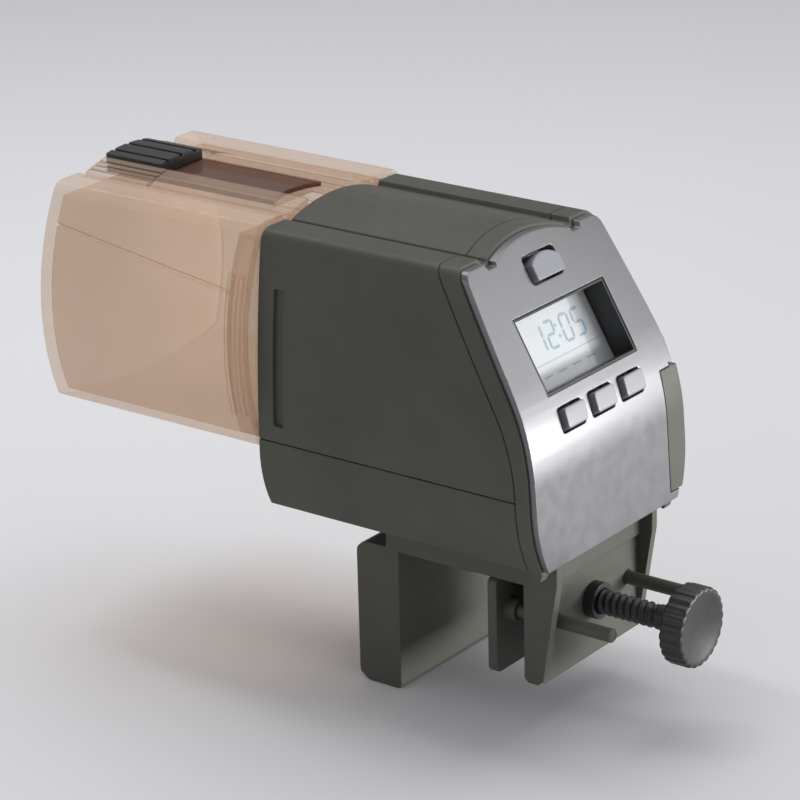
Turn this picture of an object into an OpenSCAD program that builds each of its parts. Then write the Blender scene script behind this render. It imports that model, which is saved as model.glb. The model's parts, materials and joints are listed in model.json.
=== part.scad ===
// Automatic fish feeder that clamps on an aquarium rim.
// A battery housing with a timer face turns a clear food drum through a small gear train,
// and a screw clamp underneath grips the glass.
// X runs from the drum to the timer face, Z is up, and Y = 0 is the middle plane.
// The origin is the corner that the rim sits in: X = 0 is the fixed jaw's inner face and
// Z = 0 is the bracket's rest face. Most lengths below are in the housing's own frame,
// whose X starts at the housing's rear face and whose Z starts at its underside.

/* [Housing] */
// Half of the housing's greatest width
half_w = 33.6; // [33.4:0.1:34.4]
// Height of the flat shoulders above the underside
shoulder_z = 74; // [73.5:0.5:75]
// Rise of the rounded middle ridge above the shoulders
ridge_rise = 2.3; // [2.1:0.1:2.6]
// Thickness of the housing walls
wall = 2; // [1.8:0.1:2]
// Height of the line where the upper and base housings part
parting_z = 19; // [18.6:0.2:19.4]
// Gap shown at the seams between covers
seam_gap = 0.2; // [0.1:0.05:0.3]

/* [Timer face] */
// X of the face's foot at the underside
foot_x = 86.4; // [86.2:0.1:87]
// Lean of the lower face from upright, in degrees
foot_lean = 3.5; // [3:0.5:4]
// Lean of the upper face from upright, in degrees
slope_lean = 30.4; // [30:0.2:31]
// Thickness of the face plate
plate_t = 1.8; // [1.6:0.1:1.8]
// Width of the display window
window_w = 37.9; // [36:0.1:38]
// Height of the display window along the slope
window_h = 18.9; // [18:0.1:19]
// Distance between the lower buttons
button_pitch = 13; // [12.8:0.1:13.4]
// How far a button moves when pressed
button_travel = 0.8; // [0.5:0.1:0.8]

/* [Drum] */
// Length of the drum
drum_len = 68.7; // [66:0.5:70]
// Half of the drum's greatest width
drum_half_w = 37.3; // [36.8:0.1:37.6]
// Thickness of the drum's clear wall
drum_wall = 2; // [1.8:0.1:2]
// Width of the shutter plate
shutter_w = 19.8; // [19:0.2:19.8]

/* [Gears] */
// Teeth on the drum gear
drum_teeth = 48; // [48:1:48]
// Teeth on each of the two reduction wheels
wheel_teeth = 36; // [36:1:36]
// Teeth on the second gear's pinion
second_pinion_teeth = 12; // [12:1:12]
// Teeth on the first gear's pinion and on the motor pinion
small_pinion_teeth = 10; // [10:1:10]

/* [Clamp] */
// Width of the bracket and its jaws
bracket_w = 45.8; // [44:0.2:46]
// Depth of the fixed rear jaw below the housing
jaw_drop = 46.5; // [44:0.5:48]
// Depth of the front leg below the housing
leg_drop = 33.8; // [33:0.2:35]
// Opening between the fixed jaw and the moving plate
gap = 27.2; // [26:0.2:28]
// Diameter of the thumbscrew's knob
knob_d = 20.8; // [19:0.2:22]
// Outside diameter of the thumbscrew's thread
thread_d = 6.5; // [6.5:0.1:6.5]
// Pitch of the thumbscrew's thread
thread_pitch = 2; // [2:0.1:2]

/* [Hidden] */
$fn = 64;
far = 200;

// Colours
charcoal = [0.25, 0.25, 0.23];
dark = [0.1, 0.1, 0.1];
silver = [0.62, 0.62, 0.64];
pale = [0.86, 0.86, 0.9];
amber = [0.72, 0.58, 0.45, 0.5];
steel = [0.7, 0.71, 0.73];
brass = [0.78, 0.63, 0.32];
ivory = [0.9, 0.88, 0.8];

// Housing section
widest_z = 16;
side_r = 400;
lower_side_r = 34.8;
corner_r = 3.8;
groove_in = 17;
groove_out = 19.7;
groove_depth = 1.4;
groove_slope = 0.7;
ridge_r = 50;
ceiling_z = shoulder_z - groove_depth - wall;
seam_foot_x = 80.5;
seam_slope_x = 54;
seam_bend_r = 46;

// Face profile: two straight leans joined by a bend
slope_ref_z = 73.5;
slope_x = 62;
face_bend_r = 54;
face_wall = 2;
window_z = 51.35;
window_x = slope_x + (slope_ref_z - window_z) * tan(slope_lean);
row_s = -16.9;
top_s = 19.3;
small_button_size = [8.6, 5.2];
top_button_size = [12, 6.5];
switch_size = [6, 6, 2.8];
plunger_h = 0.5;
button_proud = 1.6;
well_foot = -6.6;
lens_back = -7.6;
panel_back = -10.4;
board_front = -11.5;
board_t = 1.6;
board_w = 50;
board_low = -20.5;
board_high = 23.5;
post_y = 22;
post_low = -18;
post_high = 21;
board_posts = [[-post_y, post_low], [post_y, post_low], [-post_y, post_high], [post_y, post_high]];
lower_buttons = [-button_pitch, 0, button_pitch];

// Battery bay
cell_r = 7.25;
cell_len = 49.2;
cell_y = 20;
cell_z = [11.6, 27.2];
tray_x = 10.5;
tray_len = 56.5;
tray_back = 10.5;
tray_t = 1.5;
door_x = 12;
door_low = 3.2;
door_high = 35.3;
door_t = 2.4;
door_proud = 0.5;
door_return_y = 26.2;
door_gap = 0.2;

// Drum
axis_z = 45.5;
mouth_x = -0.8;
drum_end_x = mouth_x - drum_len;
drum_r = 68;
drum_widest_z = 41.5;
drum_top = 75;
drum_bottom = 12;
drum_bottom_r = 116;
drum_low_corner = 2;
drum_high_corner = 4;
channel_floor = 72.9;
channel_h = 1.5;
roof_t = 1.5;
lip_half_w = 8.8;
shutter_t = 1.3;
shutter_arc_r = 19.5;
shutter_front = -14.1;
shutter_back = drum_end_x + 1.4;
port_half_w = 8.2;
port_x = -13.2;
collar_x = -8;
collar_disc_t = 2.8;
socket_depth = 7.2;
hub_flats = 16;
hub_fit = 0.1;

// Gear train: centres in the Y-Z plane and places along X
mod_drum = 0.7;
mod_second = 0.6;
mod_first = 0.5;
pressure = 25;
addendum = 0.9;
dedendum = 1.15;
backlash = 0.12;
dir_second = -123;
dir_first = -100;
dir_motor = 0;
shaft_c = [0, axis_z];
second_c = shaft_c + mesh_step(mod_drum, drum_teeth, second_pinion_teeth, dir_second);
first_c = second_c + mesh_step(mod_second, wheel_teeth, small_pinion_teeth, dir_first);
motor_c = first_c + mesh_step(mod_first, wheel_teeth, small_pinion_teeth, dir_motor);
drum_gear_x = 5.2;
drum_gear_t = 3;
second_x = 9.5;
wheel_t = 2.5;
first_x = 13.5;
plate_x = 18;
gear_plate_t = 2;
motor_len = 25;
shaft_r = 3;
axle_r = 1;
run_fit = 0.05;
cam_r = 8.5;
cam_x = 13;
upper_posts = [[-21, 56], [17, 60]];
lower_post = [6, 5];
post_r = 2.5;

// Screws: threads are plain shanks
pilot_r = 1.15;
screw_r = 1.1;
housing_screw_r = 1.4;
housing_screws_at = [[6.5, 25.2], [6.5, -25.2], [60, -25.2]];
bracket_screws_at = [[50, 0], [71, 0]];

// Clamp
bar_t = 7.5;
rest_pad = 0.3;
bar_back_x = 31.5;
bar_front_x = 80.5;
jaw_x = 35.5;
jaw_back_x = 22;
jaw_top = 7.2;
leg_back_x = 76;
leg_front_x = 79.5;
rib_back_x = 74;
rib_top_x = 84.2;
rib_foot_x = 79.9;
rib_t = 2.5;
clamp_x = jaw_x + gap;
clamp_t = 2.8;
clamp_top = 8.3;
clamp_drop = 34.3;
screw_z = -18.3;
pin_y = 16.1;
pin_r = 1.8;
pin_fit = 0.07;
pin_end_x = 96.5;
thread_r = thread_d / 2;
thread_fit = 0.08;
knob_x = 105.5;
knob_t = 6.5;
bush_r = 4.8;
bush_barrel_r = 4.2;

// ---------- Outline functions: points of the right half, from the bottom up ----------

function polar(r, a) = r * [cos(a), sin(a)];

function arc_pts(c, r, a0, a1, n) = [for (i = [0:n]) c + polar(r, a0 + (a1 - a0) * i / n)];

// From one gear's centre to that of the gear it meshes with, in the direction a
function mesh_step(m, n0, n1, a) = polar(m * (n0 + n1) / 2, a);

// The same arc without its two end points
function open_arc(c, r, a0, a1, n) = [for (i = [1:n - 1]) arc_pts(c, r, a0, a1, n)[i]];

// The whole outline from its right half
function both_halves(half) = concat(half,
    [for (i = [len(half) - 1:-1:0]) if (half[i][0] > 0.001) [-half[i][0], half[i][1]]]);

// Groove and raised ridge in the top, from the shoulder inwards
function ridge_pts(d, top) =
    let (r = ridge_r - d,
         c = [0, top + ridge_rise - ridge_r],
         edge = groove_in - d,
         floor_z = top - groove_depth - d)
    concat([[groove_out + d, top - d], [groove_out - groove_slope + d, floor_z], [edge + 0.2, floor_z]],
           arc_pts(c, r, acos(edge / r), 90, 10));

// Housing section, moved inwards by d
function housing_half(d) =
    let (corner_z = shoulder_z - corner_r,
         side_c = [half_w - side_r, widest_z],
         a_top = asin((corner_z - widest_z) / (side_r - corner_r)),
         corner_c = side_c + polar(side_r - corner_r, a_top),
         a_foot = asin((d - widest_z) / (lower_side_r - d)))
    concat(arc_pts([half_w - lower_side_r, widest_z], lower_side_r - d, a_foot, 0, 8),
           open_arc(side_c, side_r - d, 0, a_top, 8),
           arc_pts(corner_c, corner_r - d, a_top, 90, 6),
           ridge_pts(d, shoulder_z));

// Where two circles cross, on the left-hand side of the line from c0 to c1
function circles_meet(c0, r0, c1, r1) =
    let (v = c1 - c0, l = norm(v), a = (r0 * r0 - r1 * r1 + l * l) / (2 * l), h = sqrt(r0 * r0 - a * a))
    c0 + v * a / l + [-v[1], v[0]] * h / l;

function angle_of(v) = atan2(v[1], v[0]);

// Drum section, moved inwards by d
function drum_half(d) =
    let (side_c = [drum_half_w - drum_r, drum_widest_z],
         base_c = [0, drum_bottom + drum_bottom_r],
         low_r = max(drum_low_corner - d, 0.3),
         low_c = circles_meet(base_c, drum_bottom_r - d - low_r, side_c, drum_r - d - low_r),
         a_base = angle_of(low_c - base_c),
         a_low = angle_of(low_c - side_c),
         high_z = drum_top - drum_high_corner,
         a_high = asin((high_z - drum_widest_z) / (drum_r - drum_high_corner)),
         high_c = side_c + polar(drum_r - drum_high_corner, a_high))
    concat([[0, drum_bottom + d]],
           open_arc(base_c, drum_bottom_r - d, -90, a_base, 8),
           arc_pts(low_c, low_r, a_base, a_low, 5),
           open_arc(side_c, drum_r - d, a_low, a_high, 16),
           arc_pts(high_c, drum_high_corner - d, a_high, 90, 6),
           ridge_pts(d, drum_top));

// Face or seam profile seen from the side: foot line, bend and slope, moved inwards by d
function lean_curve(foot, slope, bend_r, d) =
    let (f = foot - d / cos(foot_lean),
         s = slope - d / cos(slope_lean),
         knee_z = (s + slope_ref_z * tan(slope_lean) - f) / (tan(slope_lean) - tan(foot_lean)),
         knee = [f - knee_z * tan(foot_lean), knee_z],
         t = (bend_r - d) * tan((slope_lean - foot_lean) / 2),
         start = knee + t * [sin(foot_lean), -cos(foot_lean)],
         c = start - (bend_r - d) * [cos(foot_lean), sin(foot_lean)],
         low = -10, high = 90)
    concat([[f - low * tan(foot_lean), low]], arc_pts(c, bend_r - d, foot_lean, slope_lean, 10),
           [[s - (high - slope_ref_z) * tan(slope_lean), high]]);

function face_curve(d) = lean_curve(foot_x, slope_x, face_bend_r, d);
function seam_curve(d) = lean_curve(seam_foot_x, seam_slope_x, seam_bend_r, d);

// ---------- Placing helpers ----------

module at_housing() {
    translate([-jaw_x, 0, bar_t + rest_pad]) children();
}

// Stretches a Y-Z section along X
module along_x(x0, x1) {
    translate([x0, 0, 0]) rotate([90, 0, 90]) linear_extrude(x1 - x0) children();
}

// Stretches an X-Z profile across Y
module across_y(w, y = 0) {
    translate([0, y + w / 2, 0]) rotate([90, 0, 0]) linear_extrude(w) children();
}

// A round bar along X at a point of the Y-Z plane
module rod(c, r, x0, x1) {
    translate([x0, c[0], c[1]]) rotate([0, 90, 0]) cylinder(h = x1 - x0, r = r);
}

// Local frame on the sloping face: X across, Y up the slope, Z outwards
module on_face() {
    translate([window_x, 0, window_z]) rotate([0, 90 - slope_lean, 0]) rotate([0, 0, 90]) children();
}

module behind(curve) {
    across_y(far) polygon(concat([[-far, curve[0][1]]], curve, [[-far, curve[len(curve) - 1][1]]]));
}

module ahead(curve) {
    across_y(far) polygon(concat([[far, curve[0][1]]], curve, [[far, curve[len(curve) - 1][1]]]));
}

// A rectangle with round corners, centred
module rounded(size, r) {
    square([size[0] - 2 * r, size[1]], center = true);
    square([size[0], size[1] - 2 * r], center = true);
    for (x = [-1, 1], y = [-1, 1]) translate([x * (size[0] / 2 - r), y * (size[1] / 2 - r)]) circle(r);
}

module housing_section(d) { polygon(both_halves(housing_half(d))); }
module drum_section(d) { polygon(both_halves(drum_half(d))); }

// Inside of the housing, with a level ceiling
module housing_space(d, x0, x1) {
    along_x(x0, x1) intersection() {
        housing_section(d);
        translate([-far / 2, d]) square([far, ceiling_z - d]);
    }
}

// A band just under the housing's skin between two heights, on both sides
module side_band(outer, inner, z0, z1) {
    intersection() {
        difference() {
            housing_section(outer);
            housing_section(inner);
        }
        translate([-far / 2, z0]) square([far, z1 - z0]);
    }
}

// The battery door's section, grown by g for its opening. Its top edge is bevelled so that
// the door can slide but can't lift off sideways.
module door_section(g) {
    bevel = 0.4;
    y_in = 15;
    y_out = 40;
    top_at = function(y) door_high + g + (half_w - 0.6 - y) * bevel;
    intersection() {
        difference() {
            housing_section(-door_proud - g);
            housing_section(door_t + g);
        }
        polygon([[y_in, door_low - g], [y_out, door_low - g], [y_out, top_at(y_out)], [y_in, top_at(y_in)]]);
    }
}

// The door's return on the timer face, grown by g for its opening
module door_return(g) {
    intersection() {
        housing_section(-door_proud - g);
        translate([door_return_y - g, door_low - g]) square([20, door_high - door_low + 2 * g]);
    }
}

// Everything the door needs clear: its path from the housing out past the face
module door_path() {
    along_x(door_x - door_gap, far / 2) door_section(door_gap);
    along_x(face_return_x(), far / 2) door_return(door_gap);
}

function face_return_x() = foot_x - 6.5;

// ---------- Housing ----------

module vent_slots(depth) {
    slot_x = 5;
    slot_w = 3;
    foot_z = 23.6;
    top_z = 59.5;
    along_x(slot_x, slot_x + slot_w) side_band(-1, depth, foot_z, top_z);
}

module upper_housing() color(charcoal) at_housing() {
    bushing_boss_r = 7.5;
    difference() {
        union() {
            difference() {
                intersection() {
                    along_x(0, foot_x) housing_section(0);
                    behind(seam_curve(0));
                    translate([-1, -far / 2, parting_z + seam_gap]) cube([far, far, far]);
                }
                housing_space(wall, wall, far);
            }
            rod(shaft_c, bushing_boss_r, wall - 1, 3.6);
            rod(second_c, post_r, wall - 1, 4.2);
            for (p = upper_posts) rod(p, post_r, wall - 1, plate_x);
            upper_screw_bosses();
        }
        rod(shaft_c, 5.02, -1, 6);
        rod(second_c, axle_r + 0.02, 1, 6);
        for (p = upper_posts) rod(p, pilot_r, plate_x - 8, plate_x + 1);
        for (p = housing_screws_at) translate([p[0], p[1], 0]) cylinder(h = 29, r = pilot_r + 0.3);
        vent_slots(1.2);
        door_path();
    }
}

// Screw bosses that hang from the side walls of the upper housing
module upper_screw_bosses() {
    boss_r = 3.2;
    z0 = parting_z + seam_gap;
    boss_h = 11;
    intersection() {
        for (p = housing_screws_at) {
            side = sign(p[1]);
            translate([p[0], p[1], z0]) cylinder(h = boss_h, r = boss_r);
            translate([p[0] - 1.5, min(p[1], p[1] + side * 8), z0]) cube([3, 8, boss_h]);
        }
        along_x(0, far) housing_section(wall / 2);
    }
}

module base_housing() color(charcoal) at_housing() {
    boss_r = 3.4;
    head_r = 2.9;
    head_h = 2.6;
    difference() {
        union() {
            difference() {
                intersection() {
                    along_x(0, foot_x) housing_section(0);
                    behind(seam_curve(0));
                    translate([-1, -far / 2, -1]) cube([far, far, parting_z + 1]);
                }
                housing_space(wall, wall, far);
            }
            for (p = housing_screws_at) translate([p[0], p[1], 0.5])
                cylinder(h = parting_z - 0.5, r = boss_r);
            for (p = bracket_screws_at) translate([p[0], p[1], wall - 1]) cylinder(h = 9, r = boss_r);
            rod(first_c, post_r, wall - 1, 8.6);
            rod(lower_post, post_r, wall - 1, plate_x);
        }
        for (p = housing_screws_at) translate([p[0], p[1], -1]) {
            cylinder(h = far, r = housing_screw_r + 0.1);
            cylinder(h = head_h + 1, r = head_r);
        }
        for (p = bracket_screws_at) translate([p[0], p[1], -1]) cylinder(h = 9, r = housing_screw_r);
        rod(first_c, axle_r + 0.02, 1, 9);
        rod(lower_post, pilot_r, plate_x - 8, plate_x + 1);
        door_path();
    }
}

module front_bezel() color(charcoal) at_housing() {
    lip_x = [81, foot_x - plate_t - 0.1];
    difference() {
        union() {
            difference() {
                intersection() {
                    along_x(40, far) housing_section(0);
                    ahead(seam_curve(-seam_gap));
                    behind(face_curve(plate_t));
                }
                intersection() {
                    housing_space(wall, 30, far);
                    behind(face_curve(plate_t + face_wall));
                }
            }
            board_post_set();
            for (side = [-1, 1]) bezel_lip(side, lip_x);
        }
        window_opening();
        button_openings();
        on_face() for (p = board_posts) translate([p[0], p[1], board_front - 1]) cylinder(h = 6, r = pilot_r);
        door_path();
    }
}

// Small foot under each front corner of the bezel
module bezel_lip(side, span) {
    lip_w = 3;
    drop = 2.2;
    across_y(lip_w, side * 28) polygon([
        [span[0], 1], [span[0] + 2, -drop], [span[1] - 0.8, -drop], [span[1], 0], [span[1], 1]
    ]);
}

// Posts for the control board, ending inside the bezel's wall
module board_post_set() {
    intersection() {
        on_face() for (p = board_posts) translate([p[0], p[1], board_front]) cylinder(h = 10, r = 2.4);
        behind(face_curve(plate_t + 1));
    }
}

// A hole through the face, at y across and s up the slope
module face_hole(y, s) {
    on_face() translate([y, s, -20]) linear_extrude(30) children();
}

module window_opening() {
    rim = 1.6;
    face_hole(0, 0) square([window_w + rim, window_h + rim], center = true);
}

module button_openings() {
    clear = [1.6, 1.2];
    for (y = lower_buttons) face_hole(y, row_s) rounded(small_button_size + clear, 1);
    face_hole(0, top_s) rounded(top_button_size + clear, 1.2);
}

module face_plate() color(silver) at_housing() difference() {
    edge = 0.8;
    intersection() {
        along_x(50, far) housing_section(edge);
        ahead(face_curve(plate_t));
        behind(face_curve(0));
    }
    window_opening();
    button_openings();
    door_path();
}

// ---------- Display and controls ----------

// A block on the sloping face between two depths, centred on the window
module window_block(w, h, z0, z1) {
    on_face() translate([0, 0, z0]) linear_extrude(z1 - z0) square([w, h], center = true);
}

// The well around the display, with a flange behind the bezel's wall
module lcd_frame() color(dark) at_housing() {
    rim = 1.4;
    flange = [6, 5.5];
    pocket = 2.3;
    pocket_wall = [2.4, 2];
    difference() {
        union() {
            window_block(window_w + rim, window_h + rim, -5, -0.3);
            intersection() {
                window_block(window_w + flange[0], window_h + flange[1], -5.6, -3);
                behind(face_curve(plate_t + face_wall + 0.1));
            }
            window_block(window_w + pocket + pocket_wall[0], window_h + pocket + pocket_wall[1],
                         board_front, -4.9);
        }
        window_block(window_w, window_h, -20, 10);
        window_block(window_w + pocket, window_h + pocket, -20, well_foot);
    }
}

module lcd_lens() color([0.8, 0.85, 0.85, 0.4]) at_housing()
    window_block(window_w + 2, window_h + 2, lens_back, well_foot);

module lcd_panel() color([0.75, 0.78, 0.76]) at_housing()
    window_block(window_w + 2, window_h + 2, panel_back, lens_back - 0.1);

module lcd_connectors() color([0.8, 0.45, 0.5]) at_housing() on_face() {
    strip = [34, 2, panel_back - board_front];
    for (side = [-1, 1]) translate([-strip[0] / 2, side * 9 - strip[1] / 2, board_front]) cube(strip);
}

// A button: a cap that follows the face, a flange behind the bezel wall and a stem
module face_button(y, s, cap_size) at_housing() {
    flange_lip = [3.1, 2.7];
    stem_end = board_front + switch_size[2] + plunger_h + button_travel + 0.2;
    intersection() {
        on_face() translate([y, s, -7]) linear_extrude(20) children();
        behind(face_curve(-button_proud));
        ahead(face_curve(plate_t + face_wall + 1));
    }
    intersection() {
        on_face() translate([y, s, -12]) linear_extrude(20) rounded(cap_size + flange_lip, 0.8);
        behind(face_curve(plate_t + face_wall + 0.1));
        ahead(face_curve(plate_t + face_wall + 1.2));
    }
    on_face() translate([y, s, stem_end]) cylinder(h = 2.6, r = 1.6);
}

module small_button(y) {
    color(pale) face_button(y, row_s, small_button_size) rounded(small_button_size, 0.9);
}
module left_button() { small_button(-button_pitch); }
module middle_button() { small_button(0); }
module right_button() { small_button(button_pitch); }

module top_button() {
    arch_r = 9;
    color(pale) face_button(0, top_s, top_button_size) intersection() {
        rounded(top_button_size, 1);
        translate([0, top_button_size[1] / 2 - arch_r]) circle(arch_r);
    }
}

module tact_switches() color(dark) at_housing() on_face() {
    places = concat([for (y = lower_buttons) [y, row_s]], [[0, top_s]]);
    for (p = places) translate([p[0], p[1], board_front]) {
        translate([-switch_size[0] / 2, -switch_size[1] / 2, 0]) cube(switch_size);
        cylinder(h = switch_size[2] + plunger_h, r = 1.7);
    }
}

module control_board() color([0.1, 0.35, 0.2]) at_housing() on_face() difference() {
    translate([-board_w / 2, board_low, board_front - board_t])
        cube([board_w, board_high - board_low, board_t]);
    for (p = board_posts) translate([p[0], p[1], -20]) cylinder(h = 20, r = 1.3);
}

// A part on the back of the board: its corner and its size, thickness last
module chip(x, y, size) {
    translate([x, y, -size[2]]) cube(size);
}

module can(x, y, r, h) {
    translate([x, y, -h]) cylinder(h = h, r = r);
}

module board_components() color(dark) at_housing() on_face() translate([0, 0, board_front - board_t]) {
    chip(-12, -4, [12, 12, 1.4]);
    chip(-20, 6, [4, 10, 3]);
    for (i = [0:4]) chip(-9 + i * 3, -8, [1.6, 0.9, 0.6]);
    for (i = [0:2]) chip(-20, -12 + i * 4, [2, 1.2, 0.7]);
    can(5, 12, 5, 5);
    can(-14, 15, 2.5, 7);
}

module board_screws() color(steel) at_housing() on_face() {
    head_h = 1.4;
    for (p = board_posts) translate([p[0], p[1], board_front - board_t]) {
        difference() {
            translate([0, 0, -head_h]) cylinder(h = head_h, r = 2);
            cross_recess(-head_h - 0.1, 0.8, 2.2);
        }
        cylinder(h = 6, r = screw_r);
    }
}

// Cross-shaped driver recess cut upwards from z0
module cross_recess(z0, depth, size) {
    bar_w = 0.6;
    translate([-size / 2, -bar_w / 2, z0]) cube([size, bar_w, depth]);
    translate([-bar_w / 2, -size / 2, z0]) cube([bar_w, size, depth]);
}

// ---------- Battery bay ----------

tray_low = cell_z[0] - cell_r - 1.9;
tray_high = cell_z[1] + cell_r + 1.7;
tray_front = 26;

module battery_tray() color(dark) at_housing() difference() {
    shelf_z = (cell_z[0] + cell_z[1]) / 2;
    translate([tray_x, tray_back, tray_low]) cube([tray_len, tray_front - tray_back, tray_high - tray_low]);
    difference() {
        translate([tray_x + tray_t, tray_back + tray_t, tray_low + 1.2])
            cube([tray_len - 2 * tray_t, far, tray_high - tray_low - 2.4]);
        translate([tray_x, tray_back, shelf_z - 0.4]) cube([tray_len, 6, 0.8]);
    }
    for (z = cell_z) rod([cell_y, z], cell_r + 0.15, tray_x + tray_t, tray_x + tray_len - tray_t);
}

// One cell along X, with its raised contact towards dir
module cell(z, dir) {
    mid_x = tray_x + tray_len / 2;
    x0 = mid_x - cell_len / 2 - dir * 0.3;
    rod([cell_y, z], cell_r, x0, x0 + cell_len);
    nub_x = dir > 0 ? x0 + cell_len : x0 - 1.2;
    rod([cell_y, z], 2.7, nub_x, nub_x + 1.2);
}

module battery_cells() color([0.15, 0.3, 0.5]) at_housing() {
    cell(cell_z[0], 1);
    cell(cell_z[1], -1);
}

// Coil stand-in: rings joined by a strut on the flat end of each cell
module battery_springs() color(steel) at_housing() {
    wire_r = 0.35;
    span = (tray_len - 2 * tray_t - cell_len) / 2 - 0.3 - 0.5;
    for (i = [0, 1]) {
        end_x = i == 0 ? tray_x + tray_t + 0.5 : tray_x + tray_len - tray_t - 0.5;
        dir = i == 0 ? 1 : -1;
        translate([end_x, cell_y, cell_z[i]]) rotate([0, 90 * dir, 0]) {
            for (k = [0, 1]) translate([0, 0, wire_r + 0.02 + k * (span - 2 * wire_r - 0.04)])
                rotate_extrude() translate([4.2 - 0.9 * k, 0]) circle(wire_r, $fn = 24);
            translate([3.75, 0, 0.1]) cylinder(h = span - 0.2, r = wire_r, $fn = 24);
        }
    }
}

module battery_contacts() color(steel) at_housing() {
    contact_t = 0.4;
    for (z = cell_z) {
        translate([tray_x + tray_t, cell_y - 5, z - 5]) cube([contact_t, 10, 10]);
        translate([tray_x + tray_len - tray_t - contact_t, cell_y - 5, z - 5]) cube([contact_t, 10, 10]);
    }
}

module battery_door() color(charcoal) at_housing() {
    grip_n = 5;
    difference() {
        union() {
            intersection() {
                along_x(door_x, far / 2) door_section(0);
                behind(face_curve(0));
            }
            intersection() {
                along_x(face_return_x() + door_gap, far / 2) door_return(0);
                behind(face_curve(0));
            }
        }
        for (i = [0:grip_n - 1]) along_x(66 + i * 2.2, 67 + i * 2.2) side_band(-1, 0.1, 10, 28);
    }
}

// ---------- Motor and gear train ----------

// Radius r's half tooth angle for a gear of pitch radius rp and base radius rb
function half_tooth(n, rp, rb, r) =
    90 / n - (backlash / 2) / rp * 180 / PI + (tan(pressure) * 180 / PI - pressure)
    - (tan(acos(rb / r)) * 180 / PI - acos(rb / r));

function gear_pts(n, m, phase) =
    let (rp = n * m / 2,
         rb = rp * cos(pressure),
         r_root = rp - dedendum * m,
         r_tip = rp + addendum * m,
         r_start = max(rb, r_root) + 0.001,
         steps = 5,
         rs = [for (k = [0:steps]) r_start + (r_tip - r_start) * k / steps],
         tooth = concat([[r_root, -half_tooth(n, rp, rb, r_start)]],
                        [for (r = rs) [r, -half_tooth(n, rp, rb, r)]],
                        [for (k = [steps:-1:0]) [rs[k], half_tooth(n, rp, rb, rs[k])]],
                        [[r_root, half_tooth(n, rp, rb, r_start)]]))
    [for (i = [0:n - 1], p = tooth) polar(p[0], phase + i * 360 / n + p[1])];

module spur(n, m, phase, c, x0, x1) {
    along_x(x0, x1) translate(c) polygon(gear_pts(n, m, phase));
}

// A gap of an n-tooth gear faces the direction a
function gap_at(a, n) = a + 180 / n;

module motor() color(steel) at_housing() difference() {
    face_x = plate_x + gear_plate_t;
    can_r = 10.1;
    can_h = 15.4;
    nose_r = 3;
    tail_r = 3.4;
    tail_len = 1.4;
    union() {
        along_x(face_x, face_x + motor_len) translate(motor_c) intersection() {
            circle(can_r);
            square([2 * can_r, can_h], center = true);
        }
        rod(motor_c, nose_r, plate_x, face_x + 1);
        rod(motor_c, tail_r, face_x + motor_len - 1, face_x + motor_len + tail_len);
    }
    rod(motor_c, axle_r + run_fit, plate_x - 1, face_x + 3);
}

module motor_shaft() color(steel) at_housing() rod(motor_c, axle_r, 12.6, plate_x + gear_plate_t + 2);

module motor_pinion() color(brass) at_housing() difference() {
    spur(small_pinion_teeth, mod_first, gap_at(dir_motor + 180, small_pinion_teeth), motor_c, 13, 16.8);
    rod(motor_c, axle_r + 0.02, 12, 18);
}

// A wheel and pinion in one moulding
module compound(c, wheel_m, wheel_phase, wheel_x, pinion_n, pinion_m, pinion_phase, pinion_x) {
    hole_n = 5;
    hole_at = wheel_m * wheel_teeth / 2 * 0.62;
    hole_r = hole_at * 0.3;
    difference() {
        union() {
            spur(wheel_teeth, wheel_m, wheel_phase, c, wheel_x, wheel_x + wheel_t);
            spur(pinion_n, pinion_m, pinion_phase, c, pinion_x, wheel_x + 0.5);
            rod(c, 2.2, pinion_x - 0.2, pinion_x + 1);
        }
        rod(c, axle_r + run_fit, 0, 20);
        for (k = [0:hole_n - 1])
            rod(c + polar(hole_at, (k + 0.5) * 360 / hole_n), hole_r, wheel_x + 1, wheel_x + wheel_t + 1);
    }
}

module first_gear() color(ivory) at_housing()
    compound(first_c, mod_first, dir_motor, first_x, small_pinion_teeth, mod_second,
             gap_at(dir_first + 180, small_pinion_teeth), second_x - 0.3);

module second_gear() color(ivory) at_housing()
    compound(second_c, mod_second, dir_first, second_x, second_pinion_teeth, mod_drum,
             gap_at(dir_second + 180, second_pinion_teeth), drum_gear_x - 0.4);

module drum_gear() color(ivory) at_housing() difference() {
    hole_n = 6;
    union() {
        spur(drum_teeth, mod_drum, dir_second, shaft_c, drum_gear_x, drum_gear_x + drum_gear_t);
        rod(shaft_c, 6, drum_gear_x + 1, cam_x - 0.2);
    }
    rod(shaft_c, shaft_r + 0.02, 0, 20);
    for (k = [0:hole_n - 1])
        rod(shaft_c + polar(11, (k + 0.5) * 360 / hole_n), 3, drum_gear_x - 1, drum_gear_x + drum_gear_t + 1);
}

module gear_axles() color(steel) at_housing() {
    rod(second_c, axle_r, 1.2, plate_x + gear_plate_t);
    rod(first_c, axle_r, 1.2, plate_x + gear_plate_t);
}

module gear_plate() color(dark) at_housing() difference() {
    along_x(plate_x, plate_x + gear_plate_t)
        polygon([[-27, 3.4], [9.4, 3.4], [9.4, 37.5], [21, 37.5], [21, 64], [-25, 64], [-28, 50], [-28, 12]]);
    rod(shaft_c, shaft_r + run_fit, 0, 30);
    rod(second_c, axle_r + 0.02, 0, 30);
    rod(first_c, axle_r + 0.02, 0, 30);
    rod(motor_c, 3.1, 0, 30);
    for (p = concat(upper_posts, [lower_post])) rod(p, screw_r + 0.2, 0, 30);
    along_x(plate_x - 1, plate_x + 3) translate([-22, 24]) rounded([8, 12], 2);
}

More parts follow.
